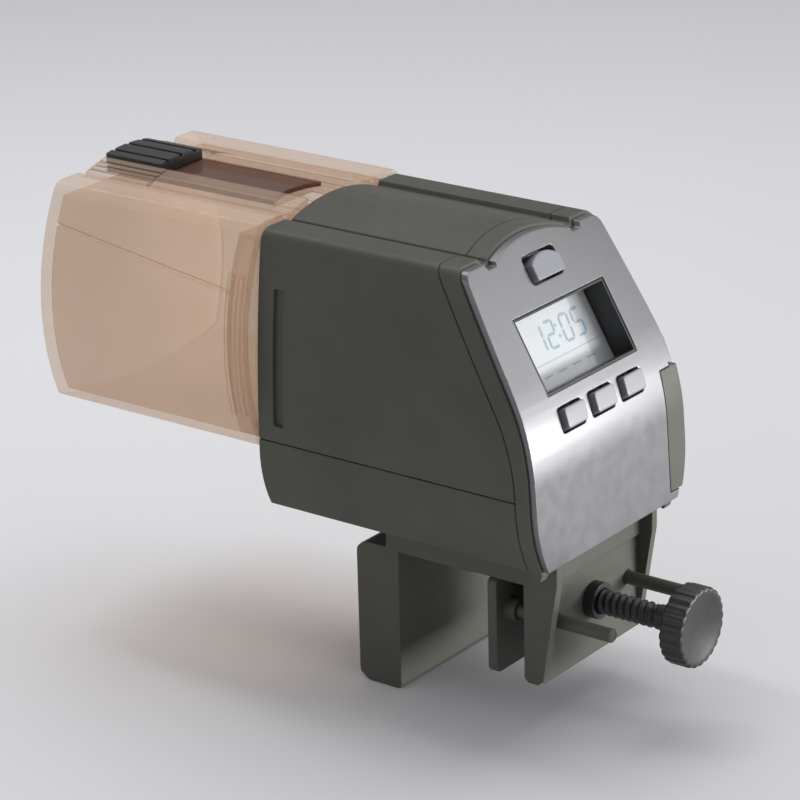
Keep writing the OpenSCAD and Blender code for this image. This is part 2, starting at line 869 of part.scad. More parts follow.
module gear_plate_screws() color(steel) at_housing() {
    front_x = plate_x + gear_plate_t;
    for (p = concat(upper_posts, [lower_post])) {
        rod(p, screw_r, front_x - 7, front_x);
        translate([front_x, p[0], p[1]]) rotate([0, 90, 0]) difference() {
            cylinder(h = 1.5, r = 2.1);
            translate([0, 0, 1.6]) mirror([0, 0, 1]) cross_recess(0, 0.9, 2.4);
        }
    }
}

module drive_shaft() color(steel) at_housing() difference() {
    rod(shaft_c, shaft_r, -4, plate_x + gear_plate_t + 1.2);
    rod(shaft_c, 1.3, -5, 3);
}

module shaft_bushing() color(brass) at_housing() difference() {
    union() {
        rod(shaft_c, 5, -0.1, 4);
        rod(shaft_c, 6.5, 3.6, 4.8);
    }
    rod(shaft_c, shaft_r + run_fit, -1, 6);
}

module hexagon(flats) { circle(flats / sqrt(3), $fn = 6); }

// Hexagonal plug that the drum pushes on to
module drive_hub() color(dark) at_housing() difference() {
    union() {
        along_x(-7.4, -0.4) translate(shaft_c) hexagon(hub_flats);
        rod(shaft_c, 6, -1, -0.3);
    }
    rod(shaft_c, shaft_r + 0.02, -4.2, 1);
    rod(shaft_c, 1.6, -8, 0);
    rod(shaft_c, 3.1, -8, -5.6);
}

module hub_screw() color(steel) at_housing() {
    rod(shaft_c, 1.25, -5.6, 2);
    difference() {
        rod(shaft_c, 2.8, -7.1, -5.6);
        translate([-7.2, shaft_c[0], shaft_c[1]]) rotate([0, 90, 0]) cross_recess(0, 0.9, 3);
    }
}

module home_cam() color(ivory) at_housing() difference() {
    rod(shaft_c, cam_r, cam_x, cam_x + 3);
    rod(shaft_c, shaft_r + 0.02, 0, 30);
    rod(shaft_c + [cam_r + 0.8, 0], 2.4, 0, 30);
}

module home_switch() color(dark) at_housing() {
    body_y = 14.5;
    body_w = 6.2;
    body_h = 12.8;
    foot_z = axis_z - body_h / 2;
    lever_t = 0.6;
    lever_y = body_y - 2.2;
    lever_x = [cam_x - 0.5, cam_x + 2.5];
    lever_w = lever_x[1] - lever_x[0];
    translate([cam_x - 1, body_y, foot_z]) cube([plate_x - cam_x + 1, body_w, body_h]);
    translate([cam_x, body_y - 1.6, axis_z - 2]) cube([2, 1.7, 2]);
    translate([lever_x[0], lever_y, foot_z]) cube([lever_w, lever_t, body_h + 0.2]);
    translate([lever_x[0], lever_y, foot_z]) cube([lever_w, body_y + 0.1 - lever_y, 0.8]);
    rod([lever_y - 1.2, axis_z + 3], 1.3, lever_x[0], lever_x[1]);
}

// ---------- Drum ----------

// The drum's inside moved inwards by d, with a level roof lowered by drop
module drum_space(d, x0, x1, drop = 0) {
    along_x(x0, x1) intersection() {
        drum_section(d);
        translate([-far / 2, 0]) square([far, channel_floor - roof_t - drop]);
    }
}

// A band just under the drum's skin, cut to the shape given
module drum_band(outer, inner, x0, x1) {
    along_x(x0, x1) intersection() {
        difference() {
            drum_section(outer);
            drum_section(inner);
        }
        children();
    }
}

module channel_cut() {
    slot_w = shutter_w + 0.4;
    translate([shutter_back - 0.2, -slot_w / 2, channel_floor]) cube([far, slot_w, channel_h]);
    translate([drum_end_x - 1, -lip_half_w, channel_floor + channel_h - 0.2]) cube([far, 2 * lip_half_w, 20]);
    translate([port_x, -port_half_w, 60]) cube([far, 2 * port_half_w, 20]);
}

// Two upright grip bars on each side near the mouth
module drum_grips() {
    bar_w = 1.5;
    bar_foot = 25;
    bar_h = 37.5;
    for (x = [-6.6, -3.2]) drum_band(-0.7, 0.5, x, x + bar_w)
        translate([-far / 2, bar_foot]) square([far, bar_h]);
}

// Fine lines along the ridge at the closed end, and the line that ends them
module ridge_lines() {
    end_x = -48;
    line_w = 0.6;
    for (k = [0:2], side = [-1, 1]) drum_band(-0.2, 0.4, drum_end_x - 1, end_x)
        translate([side * (11.2 + k * 1.9) - line_w / 2, drum_top - 1]) square([line_w, 10]);
    drum_band(-0.2, 0.4, end_x, end_x + line_w)
        translate([-groove_in, drum_top - 1]) square([2 * groove_in, 10]);
}

// Sloping rib inside each side wall that leads food to the port
module food_rib() {
    rib_h = 0.8;
    high_z = 63.8;
    low_z = 56.3;
    intersection() {
        drum_band(drum_wall - 0.2, drum_wall + 0.9, drum_end_x + 1, collar_x - 0.2)
            translate([-far / 2, 50]) square([far, 20]);
        across_y(far) polygon([
            [drum_end_x, high_z], [collar_x, low_z], [collar_x, low_z + rib_h], [drum_end_x, high_z + rib_h]
        ]);
    }
}

module drum_shell() color(amber) at_housing() {
    difference() {
        union() {
            difference() {
                along_x(drum_end_x, mouth_x) drum_section(0);
                drum_space(drum_wall, drum_end_x + drum_wall, far);
            }
            drum_grips();
            food_rib();
        }
        channel_cut();
        ridge_lines();
    }
}

module drum_collar() color(amber) at_housing() difference() {
    fit = 0.1;
    ring_t = 2;
    union() {
        difference() {
            drum_space(drum_wall + fit, collar_x, mouth_x, fit);
            drum_space(drum_wall + fit + ring_t, collar_x - 1, mouth_x - collar_disc_t, fit + ring_t);
        }
        rod(shaft_c, 11.5, mouth_x - socket_depth - 1.4, mouth_x);
    }
    along_x(mouth_x - socket_depth, 1) translate(shaft_c) hexagon(hub_flats + 2 * hub_fit);
    translate([port_x, -port_half_w, 60]) cube([mouth_x - collar_disc_t - port_x, 2 * port_half_w, 20]);
}

module shutter() color([0.35, 0.25, 0.18, 0.9]) at_housing() {
    arc_x = shutter_front + shutter_arc_r;
    translate([0, 0, channel_floor + 0.1]) linear_extrude(shutter_t) difference() {
        translate([shutter_back, -shutter_w / 2]) square([arc_x - shutter_back, shutter_w]);
        translate([arc_x, 0]) circle(shutter_arc_r, $fn = 180);
    }
}

module shutter_tab() color(dark) at_housing() {
    base_z = channel_floor + 0.1 + shutter_t;
    tab_len = 19;
    tab_half_w = 8.5;
    top_r = 42;
    top_z = 78.2;
    groove_w = 1;
    along_x(drum_end_x, drum_end_x + tab_len) difference() {
        intersection() {
            translate([-tab_half_w, base_z]) square([2 * tab_half_w, 10]);
            translate([0, top_z - top_r]) circle(top_r, $fn = 180);
        }
        for (y = [-5.6, 0, 5.6]) translate([y - groove_w / 2, top_z - 1]) square([groove_w, 3]);
    }
}

// ---------- Clamp ----------

module rounded_jaw_profile() {
    r_out = 4;
    r_in = 1.5;
    x1 = jaw_x;
    z0 = -jaw_drop;
    translate([jaw_back_x, z0 + r_out]) square([x1 - jaw_back_x, jaw_drop - jaw_top - 2 * r_out]);
    translate([jaw_back_x + r_out, z0]) square([x1 - r_in - jaw_back_x - r_out, jaw_drop - jaw_top]);
    translate([x1 - r_in - 0.1, z0 + r_in]) square([r_in + 0.1, jaw_drop - jaw_top - r_in]);
    translate([jaw_back_x + r_out, z0 + r_out]) circle(r_out);
    translate([jaw_back_x + r_out, -jaw_top - r_out]) circle(r_out);
    translate([x1 - r_in, z0 + r_in]) circle(r_in);
}

// The front leg's side flange, wide at the top
module leg_rib_profile() {
    polygon([
        [rib_back_x, 0], [rib_top_x, 0], [rib_top_x, -5.4], [rib_foot_x, -leg_drop + 1.5],
        [rib_foot_x - 1.5, -leg_drop], [rib_back_x + 1, -leg_drop], [rib_back_x, -leg_drop + 1]
    ]);
}

module clamp_bracket() color(charcoal) at_housing() difference() {
    half = bracket_w / 2;
    side_t = 2.5;
    pocket_w = 12.4;
    rib_gap = 2;
    union() {
        translate([bar_back_x, -half, -bar_t]) cube([bar_front_x - bar_back_x, bracket_w, bar_t]);
        translate([jaw_x - 2, -half, -bar_t - rest_pad]) cube([gap - 2, bracket_w, rest_pad + 1]);
        across_y(bracket_w) rounded_jaw_profile();
        along_x(leg_back_x, leg_front_x) translate([0, -leg_drop / 2])
            rounded([bracket_w - 1, leg_drop], 2);
        for (side = [-1, 1]) across_y(rib_t, side * (half - rib_t / 2)) leg_rib_profile();
    }
    // Pockets in the back of the fixed jaw, with two ribs left standing
    for (k = [-1, 0, 1])
        translate([jaw_back_x - 1, k * (pocket_w + rib_gap) - pocket_w / 2, -jaw_drop + side_t])
            cube([jaw_x - jaw_back_x - 2, pocket_w, jaw_drop - jaw_top - 2 * side_t]);
    rod([0, screw_z], bush_barrel_r + 0.02, leg_back_x - 1, leg_front_x + 1);
    for (y = [-pin_y, pin_y]) rod([y, screw_z], pin_r + pin_fit, leg_back_x - 1, leg_front_x + 1);
    for (p = bracket_screws_at) translate([p[0], p[1], -bar_t - 2]) {
        cylinder(h = 20, r = housing_screw_r + 0.2);
        cylinder(h = 4.6, r = 3.2);
    }
}

// A pan-head screw pointing up, its head at the bottom
module screw_up(head_r, head_h, shank_r, length) {
    difference() {
        cylinder(h = head_h, r = head_r);
        cross_recess(-0.1, 1.1, head_r * 1.2);
    }
    translate([0, 0, head_h]) cylinder(h = length, r = shank_r);
}

module bracket_screws() color(steel) at_housing() {
    for (p = bracket_screws_at) translate([p[0], p[1], -bar_t + 0.4])
        screw_up(2.9, 2.2, housing_screw_r - 0.02, 11);
}

module housing_screws() color(steel) at_housing() {
    for (p = housing_screws_at) translate([p[0], p[1], 0.6]) screw_up(2.6, 2, housing_screw_r, 25);
}

module threaded_bush() color(dark) at_housing() difference() {
    union() {
        rod([0, screw_z], bush_r, leg_front_x, leg_front_x + 3.1);
        rod([0, screw_z], bush_barrel_r, leg_back_x, leg_front_x + 0.1);
    }
    rod([0, screw_z], thread_r + thread_fit, leg_back_x - 1, leg_front_x + 5);
}

module clamp_plate() color(charcoal) at_housing() difference() {
    front_x = clamp_x + clamp_t;
    height = clamp_drop - clamp_top;
    union() {
        along_x(clamp_x, front_x) translate([0, -clamp_top - height / 2]) rounded([bracket_w - 1, height], 2);
        rod([0, screw_z], 5, front_x - 1, front_x + 3.5);
        for (y = [-pin_y, pin_y]) rod([y, screw_z], 3, front_x - 1, front_x + 3);
    }
    rod([0, screw_z], 2.67, front_x + 0.5, front_x + 2.1);
    rod([0, screw_z], 2, front_x + 1, front_x + 4);
    for (y = [-pin_y, pin_y]) rod([y, screw_z], pin_r + 0.02, clamp_x + 1.2, front_x + 4);
}

module guide_pins() color(charcoal) at_housing() {
    chamfer = 0.5;
    for (y = [-pin_y, pin_y]) {
        rod([y, screw_z], pin_r, clamp_x + 1.3, pin_end_x - chamfer);
        translate([pin_end_x - chamfer, y, screw_z]) rotate([0, 90, 0])
            cylinder(h = chamfer, r1 = pin_r, r2 = pin_r - chamfer);
    }
}

// Half section of the threaded shank: ridges at the pitch, radius against length
function thread_pts(length, depth) =
    let (n = floor(length / thread_pitch))
    concat([[0, 0]],
           [for (i = [0:n - 1], p = [[depth, 0.05], [0, 0.42], [0, 0.58], [depth, 0.95]])
               [thread_r - p[0], (i + p[1]) * thread_pitch]],
           [[0, n * thread_pitch]]);

module thumbscrew() color(dark) at_housing() {
    tip_x = clamp_x + clamp_t + 0.7;
    shank_x = clamp_x + clamp_t + 3.7;
    thread_len = 30;
    thread_depth = 0.7;
    knob_r = knob_d / 2;
    notch_n = 24;
    c = [0, screw_z];
    rod(c, 2.6, tip_x, tip_x + 1.2);
    rod(c, 1.93, tip_x + 1, shank_x + 0.2);
    turned_along_x(shank_x) polygon(thread_pts(thread_len, thread_depth));
    rod(c, thread_r - thread_depth, shank_x, shank_x + thread_len + 0.5);
    rod(c, thread_r, shank_x + thread_len + 0.1, knob_x + 0.5);
    difference() {
        turned_along_x(knob_x) polygon(knob_pts(knob_r));
        for (k = [0:notch_n - 1])
            rod(c + polar(knob_r + 0.35, k * 360 / notch_n), 0.8, knob_x - 1, knob_x + knob_t - 1);
    }
}

// Turns a half section about the screw's axis, starting at x
module turned_along_x(x) {
    translate([x, 0, screw_z]) rotate([0, 90, 0]) rotate_extrude(convexity = 4) children();
}

// Half section of the knob: chamfered rim and a dished front
function knob_pts(r) =
    let (edge = 0.8, dish = 1.3, dish_r = (pow(r - 1.4, 2) + dish * dish) / (2 * dish))
    concat([[0, 0], [r - edge, 0], [r, edge], [r, knob_t - edge], [r - edge, knob_t]],
           [for (i = [0:8]) let (q = (r - 1.4) * (1 - i / 8))
               [q, knob_t - dish + dish_r - sqrt(dish_r * dish_r - q * q)]]);

// ---------- Wires ----------

// Straight lengths with a ball at each bend
module wire(points, r) {
    for (i = [0:len(points) - 2]) {
        v = points[i + 1] - points[i];
        translate(points[i]) rotate([0, acos(v[2] / norm(v)), atan2(v[1], v[0])])
            cylinder(h = norm(v), r = r);
    }
    for (i = [1:len(points) - 2]) translate(points[i]) sphere(r * 1.08, $fn = 24);
}

// A pair from the motor and a pair from the battery bay, each up to the control board
module wires() color([0.6, 0.1, 0.1]) at_housing() {
    wire_r = 0.6;
    motor_end = plate_x + gear_plate_t + motor_len + 1;
    tray_end = tray_x + tray_len + 1;
    for (side = [-1, 1]) {
        from_motor = [
            [motor_end, motor_c[0] + side * 5, motor_c[1]],
            [50, side * 5 - 8, 18],
            [55, side * 4 - 12, 40],
            [56, side * 2 - 12, 50]
        ];
        from_tray = [
            [tray_end, 13, 20 + side * 1.2],
            [tray_end + 1.5, 9 + side, 20 + side * 1.2],
            [64, 6 + side, 34],
            [61.5, 2 + side, 41]
        ];
        wire(from_motor, wire_r);
        wire(from_tray, wire_r);
    }
}

upper_housing();
base_housing();
front_bezel();
face_plate();
lcd_frame();
lcd_lens();
lcd_panel();
lcd_connectors();
top_button();
left_button();
middle_button();
right_button();
tact_switches();
control_board();
board_components();
board_screws();
battery_tray();
battery_cells();
battery_springs();
battery_contacts();
battery_door();
motor();
motor_shaft();
motor_pinion();
first_gear();
second_gear();
drum_gear();
gear_axles();
gear_plate();
gear_plate_screws();
drive_shaft();
shaft_bushing();
drive_hub();
hub_screw();
home_cam();
home_switch();
drum_shell();
drum_collar();
shutter();
shutter_tab();
clamp_bracket();
bracket_screws();
threaded_bush();
clamp_plate();
guide_pins();
thumbscrew();
housing_screws();
wires();
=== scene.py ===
"""Looks for the automatic fish feeder: finished meshes, materials, light and camera round the CAD frame."""

import json
import math

import bmesh
import bpy
from mathutils import Matrix, Vector
from mathutils.bvhtree import BVHTree
from mathutils.geometry import intersect_point_line

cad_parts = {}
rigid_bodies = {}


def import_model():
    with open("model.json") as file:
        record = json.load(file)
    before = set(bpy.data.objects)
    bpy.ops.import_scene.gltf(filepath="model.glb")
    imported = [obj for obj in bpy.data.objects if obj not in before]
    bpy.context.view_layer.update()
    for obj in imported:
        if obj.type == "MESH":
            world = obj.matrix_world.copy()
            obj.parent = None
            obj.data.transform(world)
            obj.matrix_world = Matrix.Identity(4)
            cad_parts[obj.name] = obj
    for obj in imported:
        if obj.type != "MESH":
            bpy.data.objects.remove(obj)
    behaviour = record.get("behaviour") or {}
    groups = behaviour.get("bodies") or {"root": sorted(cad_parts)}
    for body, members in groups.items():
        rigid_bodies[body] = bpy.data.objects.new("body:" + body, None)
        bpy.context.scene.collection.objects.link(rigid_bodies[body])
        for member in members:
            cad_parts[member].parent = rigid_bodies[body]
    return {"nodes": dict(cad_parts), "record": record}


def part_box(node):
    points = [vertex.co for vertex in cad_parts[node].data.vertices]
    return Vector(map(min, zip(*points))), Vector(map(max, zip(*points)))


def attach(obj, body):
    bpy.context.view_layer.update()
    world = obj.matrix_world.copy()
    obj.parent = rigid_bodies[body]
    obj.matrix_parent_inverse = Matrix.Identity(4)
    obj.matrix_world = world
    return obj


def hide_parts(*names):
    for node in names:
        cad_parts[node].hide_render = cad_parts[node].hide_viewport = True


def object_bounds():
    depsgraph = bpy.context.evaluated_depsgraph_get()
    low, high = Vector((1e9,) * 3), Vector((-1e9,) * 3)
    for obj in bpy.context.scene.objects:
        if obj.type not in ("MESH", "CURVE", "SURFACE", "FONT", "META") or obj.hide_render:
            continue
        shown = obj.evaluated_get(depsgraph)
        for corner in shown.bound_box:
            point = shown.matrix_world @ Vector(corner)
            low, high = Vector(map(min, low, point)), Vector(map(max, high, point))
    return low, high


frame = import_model()
cad_low, cad_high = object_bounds()

MM = 0.001
RECORD_SLOTS = {part["node"]: part["material_slot"] for part in frame["record"]["subparts"]}
BODY_OF = {n: b for b, nodes in frame["record"]["behaviour"]["bodies"].items() for n in nodes}

# The housing's own frame: X from its rear face, Z from its underside, Y = 0 on its middle plane
HOUSING = Vector((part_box("upper_housing")[0].x, 0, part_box("base_housing")[0].z))

# Sloping face
SLOPE_LEAN = math.radians(30.4)
FACE_OUT = Vector((math.cos(SLOPE_LEAN), 0, math.sin(SLOPE_LEAN)))
FACE_UP = Vector((-math.sin(SLOPE_LEAN), 0, math.cos(SLOPE_LEAN)))

# The camera's angle, distance and target, in the view that the object is known from
VIEW_AZIMUTH = math.radians(36.84)
VIEW_ELEVATION = math.radians(20.64)
VIEW_ROLL = math.radians(-1.51)
VIEW_DISTANCE = 0.856
VIEW_TARGET = HOUSING + Vector((27, 0, 27)) * MM


def at(x, y, z):
    """A point of the housing's frame, given in mm, in the row frame."""
    return HOUSING + Vector((x, y, z)) * MM


# ---------- Materials ----------


class Paint:
    """A node material being built.
    Nodes are added by type, and inputs take a value or another node's output."""

    def __init__(self, name):
        self.material = bpy.data.materials.new(name)
        self.material.use_nodes = True
        self.tree = self.material.node_tree
        self.tree.nodes.clear()
        self.out = self.tree.nodes.new("ShaderNodeOutputMaterial")
        self.point = self.node("TexCoord").outputs["Object"]

    def node(self, kind, **settings):
        made = self.tree.nodes.new("ShaderNode" + kind)
        for key, value in settings.items():
            setattr(made, key, value)
        return made

    def put(self, socket, value):
        if isinstance(value, bpy.types.NodeSocket):
            self.tree.links.new(value, socket)
        else:
            socket.default_value = value

    def noise(self, scale, detail=2.0, roughness=0.5, stretch=None):
        tex = self.node("TexNoise")
        point = self.point
        if stretch:
            mapping = self.node("Mapping")
            mapping.inputs["Scale"].default_value = stretch
            self.put(mapping.inputs["Vector"], point)
            point = mapping.outputs["Vector"]
        self.put(tex.inputs["Vector"], point)
        tex.inputs["Scale"].default_value = scale
        tex.inputs["Detail"].default_value = detail
        tex.inputs["Roughness"].default_value = roughness
        return tex.outputs["Fac"]

    def remap(self, value, low, high, to_low, to_high):
        node = self.node("MapRange")
        self.put(node.inputs["Value"], value)
        node.inputs["From Min"].default_value = low
        node.inputs["From Max"].default_value = high
        node.inputs["To Min"].default_value = to_low
        node.inputs["To Max"].default_value = to_high
        return node.outputs["Result"]

    def math(self, operation, a, b):
        node = self.node("Math", operation=operation)
        self.put(node.inputs[0], a)
        self.put(node.inputs[1], b)
        return node.outputs[0]

    def mix(self, factor, a, b):
        node = self.node("Mix", data_type="RGBA")
        self.put(node.inputs["Factor"], factor)
        self.put(node.inputs[6], a)
        self.put(node.inputs[7], b)
        return node.outputs[2]

    def rounded(self, radius):
        """A normal rounded over edges, and a mask that is 1 along edges and 0 on flats."""
        bevel = self.node("Bevel", samples=4)
        bevel.inputs["Radius"].default_value = radius
        true = self.node("NewGeometry")
        dot = self.node("VectorMath", operation="DOT_PRODUCT")
        self.put(dot.inputs[0], bevel.outputs["Normal"])
        self.put(dot.inputs[1], true.outputs["Normal"])
        return bevel.outputs["Normal"], self.remap(dot.outputs["Value"], 0.995, 0.85, 0.0, 1.0)

    def bump(self, height, strength, distance, under=None):
        node = self.node("Bump")
        node.inputs["Strength"].default_value = strength
        node.inputs["Distance"].default_value = distance
        self.put(node.inputs["Height"], height)
        if under is not None:
            self.put(node.inputs["Normal"], under)
        return node.outputs["Normal"]

    def surface(self, **inputs):
        shader = self.node("BsdfPrincipled")
        for key, value in inputs.items():
            self.put(shader.inputs[key.replace("_", " ")], value)
        return shader.outputs["BSDF"]

    def done(self, shader):
        self.put(self.out.inputs["Surface"], shader)
        return self.material


def tone(colour, factor):
    return tuple(min(1.0, c * factor) for c in colour[:3]) + (1.0,)


def moulded(name, colour, roughness, grain, grain_scale=2600, edge_wear_and_highlight=0.1, specular=0.5, clouds=0.12):
    """Moulded plastic: spark-eroded grain, faint clouding, and edges, convex and concave alike, made smoother
    and painted paler, partly as rubbed wear and partly as a painted highlight.
    """
    p = Paint(name)
    cloud = p.noise(28, 4, 0.6)
    base = p.mix(p.remap(cloud, 0.3, 0.7, 0, 1), tone(colour, 1 - clouds), tone(colour, 1 + clouds))
    normal, mask = p.rounded(0.4 * MM)
    # Edges, convex and concave alike, painted paler: partly rubbed wear, partly a painted highlight.
    edge = p.math("MULTIPLY", mask, p.remap(p.noise(420, 3), 0.35, 0.65, 0.25, 1.0))
    base = p.mix(p.math("MULTIPLY", edge, edge_wear_and_highlight), base, tone(colour, 2.6))
    rough = p.remap(p.noise(300, 3, 0.6), 0.3, 0.7, roughness - 0.06, roughness + 0.06)
    rough = p.math("SUBTRACT", rough, p.math("MULTIPLY", edge, 0.12))
    fine = p.bump(p.noise(grain_scale, 3, 0.7), grain, 0.02 * MM, normal)
    soft = p.bump(p.noise(60, 2), 0.12, 0.05 * MM, fine)
    return p.done(p.surface(Base_Color=base, Roughness=rough, Normal=soft, IOR=1.5,
                            Specular_IOR_Level=specular))


def painted_silver():
    """Metallic lacquer on the face: fine flakes in a satin clear coat."""
    p = Paint("face_silver")
    colour = (0.175, 0.175, 0.182)
    flakes = p.node("TexVoronoi")
    p.put(flakes.inputs["Vector"], p.point)
    flakes.inputs["Scale"].default_value = 5200
    spark = p.remap(flakes.outputs["Distance"], 0.0, 0.6, 1.12, 0.9)
    base = p.mix(p.remap(p.noise(22, 3), 0.3, 0.7, 0, 1), tone(colour, 0.95), tone(colour, 1.05))
    glint = p.node("Mix", data_type="RGBA", blend_type="MULTIPLY")
    glint.inputs["Factor"].default_value = 1.0
    p.put(glint.inputs[6], base)
    p.put(glint.inputs[7], spark)
    normal, edge = p.rounded(0.4 * MM)
    # Edges painted paler: a painted highlight along the plate's edges.
    base = p.mix(p.math("MULTIPLY", edge, 0.3), glint.outputs[2], tone(colour, 1.5))
    rough = p.remap(p.noise(240, 3), 0.3, 0.7, 0.32, 0.38)
    normal = p.bump(p.noise(3600, 2, 0.6), 0.16, 0.02 * MM, normal)
    return p.done(p.surface(Base_Color=base, Metallic=0.7, Roughness=rough, Normal=normal,
                            Coat_Weight=0.25, Coat_Roughness=0.3))


def smoked(name, tint, haze, haze_share, rim_share, dark_edge_share=0.3):
    """Clear smoky plastic: tinted see-through, denser at grazing views and along its edges, where it is
    painted darker as painted shade, with a polished surface.
    """
    p = Paint(name)
    roughness = 0.12
    cloud = p.remap(p.noise(34, 3), 0.3, 0.7, 0.92, 1.08)
    clear = p.node("BsdfTransparent")
    clear.inputs["Color"].default_value = tint
    scuffs = p.noise(60, 4, 0.6, stretch=(1, 1, 0.2))
    rounding, mask = p.rounded(0.6 * MM)
    normal = p.bump(p.noise(40, 2), 0.06, 0.1 * MM, rounding)
    rough = p.remap(scuffs, 0.4, 0.8, roughness, roughness + 0.04)
    # Edges painted darker: painted shade standing in for the dark outline of the clear walls.
    colour = p.mix(mask, haze, tone(haze, 0.35))
    body = p.surface(Base_Color=colour, Roughness=rough, Normal=normal, IOR=1.5, Specular_IOR_Level=0.7)
    facing = p.node("LayerWeight")
    facing.inputs["Blend"].default_value = 0.35
    # Along the edges more of the darkened body shows: painted shade.
    edge = p.math("MULTIPLY", mask, dark_edge_share)
    share = p.math("MULTIPLY", p.remap(facing.outputs["Facing"], 0, 1, haze_share, rim_share), cloud)
    share = p.math("MAXIMUM", share, edge)
    blend = p.node("MixShader")
    p.put(blend.inputs[0], share)
    p.put(blend.inputs[1], clear.outputs["BSDF"])
    p.put(blend.inputs[2], body)
    return p.done(blend.outputs["Shader"])


def metal(name, colour, roughness, stretch=(1, 1, 1), scratch=0.1):
    """Plated or turned metal with fine tool marks and edges painted brighter, partly as slight wear and
    partly as a painted highlight.
    """
    p = Paint(name)
    marks = p.noise(1500, 4, 0.6, stretch)
    base = p.mix(p.remap(p.noise(160, 3), 0.3, 0.7, 0, 1), tone(colour, 0.88), tone(colour, 1.08))
    normal, edge = p.rounded(0.2 * MM)
    # Edges painted brighter: partly wear, partly a painted highlight.
    base = p.mix(p.math("MULTIPLY", edge, 0.4), base, tone(colour, 1.35))
    rough = p.remap(marks, 0.3, 0.7, roughness - 0.08, roughness + 0.1)
    return p.done(p.surface(Base_Color=base, Metallic=1.0, Roughness=rough,
                            Normal=p.bump(marks, scratch, 0.01 * MM, normal)))


def clear_window():
    """Polished window in front of the display: only its outward faces reflect."""
    p = Paint("clear_window")
    clear = p.node("BsdfTransparent")
    clear.inputs["Color"].default_value = (0.96, 0.98, 0.98, 1)
    gloss = p.node("BsdfGlossy")
    p.put(gloss.inputs["Roughness"], p.remap(p.noise(500, 3), 0.4, 0.7, 0.04, 0.1))
    fresnel = p.node("Fresnel")
    fresnel.inputs["IOR"].default_value = 1.45
    outward = p.math("SUBTRACT", 1.0, p.node("NewGeometry").outputs["Backfacing"])
    blend = p.node("MixShader")
    p.put(blend.inputs[0], p.math("MULTIPLY", fresnel.outputs["Fac"], outward))
    p.put(blend.inputs[1], clear.outputs["BSDF"])
    p.put(blend.inputs[2], gloss.outputs["BSDF"])
    return p.done(blend.outputs["Shader"])


def display_grey():
    """Pale reflective display: a faint grid of cells, with a faint painted glow."""
    p = Paint("lcd_grey")
    cells = p.node("TexBrick", offset=0.0, squash=1.0)
    p.put(cells.inputs["Vector"], p.point)
    cells.inputs["Scale"].default_value = 1.0
    cells.inputs["Brick Width"].default_value = 0.35 * MM
    cells.inputs["Row Height"].default_value = 0.35 * MM
    cells.inputs["Mortar Size"].default_value = 0.02 * MM
    cells.inputs["Color1"].default_value = (0.50, 0.48, 0.49, 1)
    cells.inputs["Color2"].default_value = (0.53, 0.51, 0.52, 1)
    cells.inputs["Mortar"].default_value = (0.46, 0.44, 0.45, 1)
    base = p.mix(p.remap(p.noise(90, 2), 0.3, 0.7, 0, 0.5), cells.outputs["Color"], (0.55, 0.53, 0.54, 1))
    # The emission is a painted glow that lightens the display in its shadowed well.
    return p.done(p.surface(Base_Color=base, Roughness=0.3, Normal=p.bump(p.noise(1800), 0.05, 0.01 * MM),
                            Emission_Color=base, Emission_Strength=0.08))


def circuit_green():
    """Solder mask over copper tracks, with a woven core showing faintly."""
    p = Paint("circuit_green")
    tracks = p.node("TexBrick", offset=0.37, squash=0.6, squash_frequency=3)
    p.put(tracks.inputs["Vector"], p.point)
    tracks.inputs["Scale"].default_value = 1.0
    tracks.inputs["Brick Width"].default_value = 5.2 * MM
    tracks.inputs["Row Height"].default_value = 1.5 * MM
    tracks.inputs["Mortar Size"].default_value = 0.16 * MM
    tracks.inputs["Color1"].default_value = (0.015, 0.11, 0.045, 1)
    tracks.inputs["Color2"].default_value = (0.018, 0.125, 0.05, 1)
    tracks.inputs["Mortar"].default_value = (0.04, 0.22, 0.08, 1)
    height = p.math("ADD", tracks.outputs["Fac"], p.math("MULTIPLY", p.noise(2400, 2), 0.4))
    return p.done(p.surface(Base_Color=tracks.outputs["Color"], Roughness=0.3,
                            Normal=p.bump(height, 0.3, 0.03 * MM), Coat_Weight=0.4, Coat_Roughness=0.15))


def cell_wrap():
    """Plain shrink-wrapped cell: a dark sleeve with one pale band."""
    p = Paint("cell_wrap")
    split = p.node("SeparateXYZ")
    p.put(split.inputs[0], p.point)
    middle = (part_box("battery_cells")[0].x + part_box("battery_cells")[1].x) / 2
    band = p.math("GREATER_THAN", split.outputs["X"], middle + 11 * MM)
    base = p.mix(band, (0.02, 0.09, 0.26, 1), (0.62, 0.62, 0.60, 1))
    wrinkle = p.noise(260, 3, 0.5, stretch=(0.3, 1, 1))
    return p.done(p.surface(Base_Color=base, Roughness=p.remap(wrinkle, 0.3, 0.7, 0.2, 0.34),
                            Normal=p.bump(wrinkle, 0.2, 0.05 * MM), Coat_Weight=0.3))


